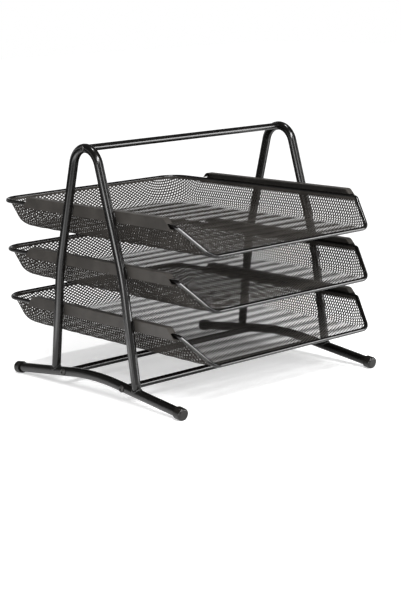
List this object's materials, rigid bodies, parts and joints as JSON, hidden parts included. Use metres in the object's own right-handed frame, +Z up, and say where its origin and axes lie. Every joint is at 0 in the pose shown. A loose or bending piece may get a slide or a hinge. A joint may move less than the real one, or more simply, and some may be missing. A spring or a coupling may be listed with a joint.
{
  "type": "tiered letter tray",
  "caption": "Stacked sliding mesh letter trays with low open fronts, held in channel rails between splayed tube side frames with a carrying handle.",
  "frame": {"origin": "on the floor, under the middle of the trays' rims", "axes": "+Z up; -Y is the trays' open front, the way that they slide; +X is the right side seen from the front"},
  "size_m": [0.2964, 0.3454, 0.271],
  "materials": {
    "tube_paint": "semi-gloss black powder coat on steel tube and wire",
    "rail_paint": "satin black powder coat on folded sheet steel",
    "mesh_paint": "satin black powder coat on fine expanded steel mesh",
    "cap_plastic": "smooth glossy black plastic",
    "screw_steel": "blackened steel button-head screws"
  },
  "bodies": {
    "stand": {"side_frame_left": "tube_paint", "side_frame_right": "tube_paint", "foot_bar_left": "tube_paint", "foot_bar_right": "tube_paint", "foot_cap_left_front": "cap_plastic", "foot_cap_left_rear": "cap_plastic", "foot_cap_right_front": "cap_plastic", "foot_cap_right_rear": "cap_plastic", "handle": "tube_paint", "handle_screws": "screw_steel", "cross_rod_front": "tube_paint", "cross_rod_rear": "tube_paint", "rod_screws": "screw_steel", "rail_left_bottom": "rail_paint", "rail_right_bottom": "rail_paint", "rail_left_middle": "rail_paint", "rail_right_middle": "rail_paint", "rail_left_top": "rail_paint", "rail_right_top": "rail_paint"},
    "tray_bottom": {"tray_bottom_rim": "tube_paint", "tray_bottom_basket": "mesh_paint"},
    "tray_middle": {"tray_middle_rim": "tube_paint", "tray_middle_basket": "mesh_paint"},
    "tray_top": {"tray_top_rim": "tube_paint", "tray_top_basket": "mesh_paint"}
  },
  "joints": [
    {"name": "tray_bottom_slide", "type": "slide", "parent": "stand", "child": "tray_bottom", "axis": [0, -1, 0], "range_m": [0, 0.17]},
    {"name": "tray_middle_slide", "type": "slide", "parent": "stand", "child": "tray_middle", "axis": [0, -1, 0], "range_m": [0, 0.17]},
    {"name": "tray_top_slide", "type": "slide", "parent": "stand", "child": "tray_top", "axis": [0, -1, 0], "range_m": [0, 0.17]}
  ]
}
